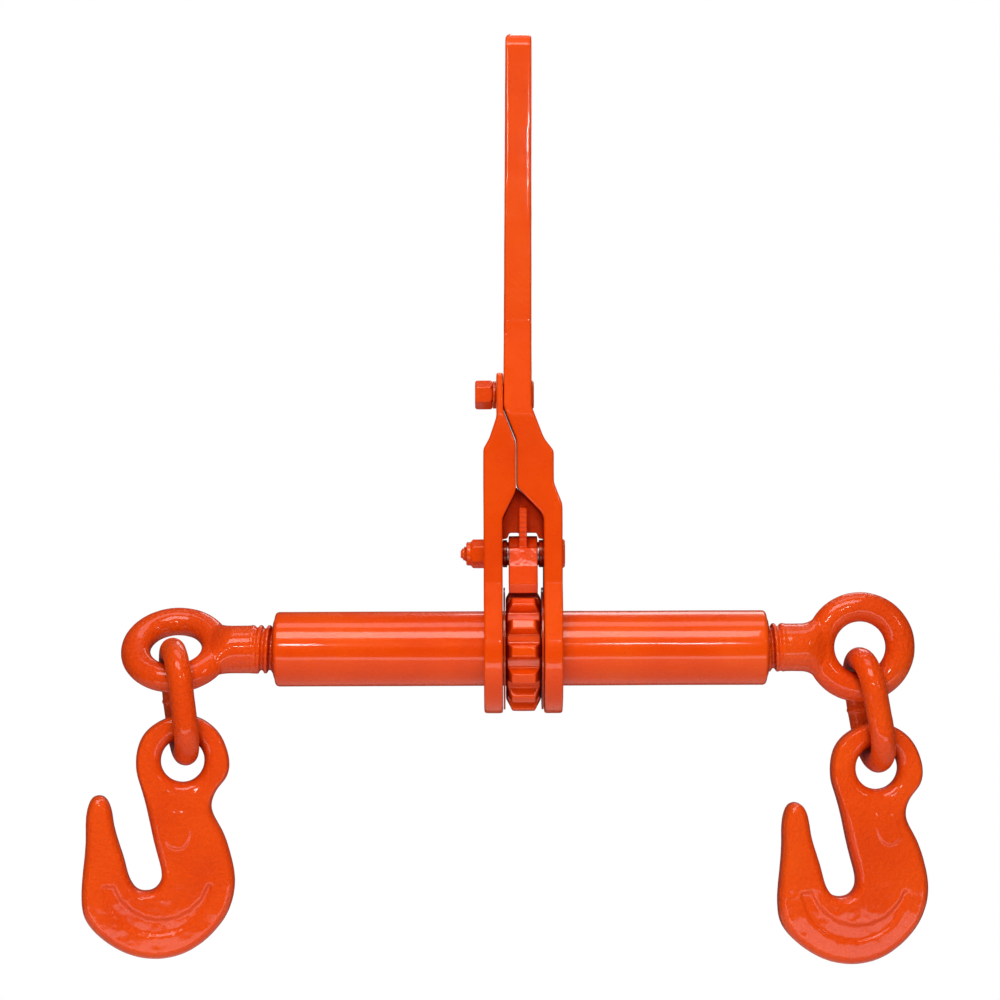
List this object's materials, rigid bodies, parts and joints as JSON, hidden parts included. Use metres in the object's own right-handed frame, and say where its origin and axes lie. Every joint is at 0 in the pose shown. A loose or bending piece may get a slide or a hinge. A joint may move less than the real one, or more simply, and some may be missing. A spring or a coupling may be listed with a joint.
{
  "type": "ratchet load binder",
  "caption": "Ratchet load binder: a double-ended threaded barrel with ratchet handle draws in two eyebolts with links and grab hooks to tension a tie-down chain.",
  "frame": {"origin": "on the barrel's axis in the mid plane of the ratchet gear", "axes": "+X along the barrel towards the right-hand threaded end, +Z along the raised handle, +Y away from the side the hooks' points are seen from on the left"},
  "size_m": [0.4289, 0.0703, 0.473],
  "materials": {
    "forged_paint": "glossy orange enamel over a forged surface",
    "pressed_paint": "glossy orange enamel over pressed sheet",
    "barrel_paint": "glossy orange enamel over drawn tube",
    "gear_paint": "thick orange enamel",
    "fastener_paint": "orange enamel over zinc plate",
    "washer_steel": "oiled steel",
    "spring_steel": "oiled steel",
    "nylon": "nylon under overspray"
  },
  "bodies": {
    "carrier": {"left_thrust_washer": "washer_steel", "right_thrust_washer": "washer_steel"},
    "barrel": {"barrel_tube": "barrel_paint", "ratchet_gear": "gear_paint"},
    "handle": {"handle_plate": "pressed_paint", "side_plate": "pressed_paint", "pawl_sleeve": "spring_steel", "left_pawl_spacer": "fastener_paint", "right_pawl_spacer": "fastener_paint", "pawl_bolt": "fastener_paint", "pawl_bolt_washer": "fastener_paint", "pawl_nut_spacer": "fastener_paint", "pawl_lock_nut": "fastener_paint", "lock_nut_insert": "nylon", "upper_bolt": "fastener_paint", "upper_bolt_spacer": "fastener_paint", "upper_nut": "fastener_paint", "upper_spring_washer": "fastener_paint", "detent_block": "gear_paint", "detent_spring": "spring_steel"},
    "pawl": {"pawl": "gear_paint"},
    "plunger": {"detent_plunger": "spring_steel"},
    "left_eyebolt": {"left_eyebolt": "forged_paint"},
    "right_eyebolt": {"right_eyebolt": "forged_paint"},
    "left_link": {"left_link": "forged_paint"},
    "right_link": {"right_link": "forged_paint"},
    "left_hook": {"left_grab_hook": "forged_paint"},
    "right_hook": {"right_grab_hook": "forged_paint"}
  },
  "joints": [
    {"name": "barrel_turn", "type": "hinge", "parent": "carrier", "child": "barrel", "pos_m": [0, 0, 0], "axis": [1, 0, 0], "range_deg": [-8640, 0]},
    {"name": "left_eyebolt_travel", "type": "slide", "parent": "carrier", "child": "left_eyebolt", "axis": [-1, 0, 0], "range_m": [0, 0.1018]},
    {"name": "right_eyebolt_travel", "type": "slide", "parent": "carrier", "child": "right_eyebolt", "axis": [1, 0, 0], "range_m": [0, 0.1018]},
    {"name": "handle_ratchet", "type": "hinge", "parent": "barrel", "child": "handle", "pos_m": [0, 0, 0], "axis": [1, 0, 0], "range_deg": [-180, 180]},
    {"name": "pawl_rock", "type": "hinge", "parent": "handle", "child": "pawl", "pos_m": [0, 0, 0.0483], "axis": [1, 0, 0], "range_deg": [-12, 12]},
    {"name": "plunger_slide", "type": "slide", "parent": "handle", "child": "plunger", "axis": [0, 0, 1], "range_m": [0, 0.002], "stiffness_N_per_m": 600, "springref_m": -0.003, "deforming": ["detent_spring"]},
    {"name": "left_link_swing", "type": "hinge", "parent": "left_eyebolt", "child": "left_link", "pos_m": [-0.1771, 0, 0], "axis": [0, 0.6691, -0.7431], "range_deg": [-20, 75]},
    {"name": "right_link_swing", "type": "hinge", "parent": "right_eyebolt", "child": "right_link", "pos_m": [0.1716, 0, 0], "axis": [0, -1, 0], "range_deg": [-20, 80]},
    {"name": "left_hook_swing", "type": "hinge", "parent": "left_link", "child": "left_hook", "pos_m": [-0.17091, -0.01523, -0.05135], "axis": [-0.2234, 0.9744, -0.0266], "range_deg": [-40, 40]},
    {"name": "right_hook_swing", "type": "hinge", "parent": "right_link", "child": "right_hook", "pos_m": [0.18068, 0, -0.05781], "axis": [-0.171, 0.9848, -0.0302], "range_deg": [-40, 40]}
  ],
  "couplings": [
    {"joint": "left_eyebolt_travel", "follows": "barrel_turn", "m_per_rad": -0.00067376},
    {"joint": "right_eyebolt_travel", "follows": "barrel_turn", "m_per_rad": -0.00067376}
  ]
}
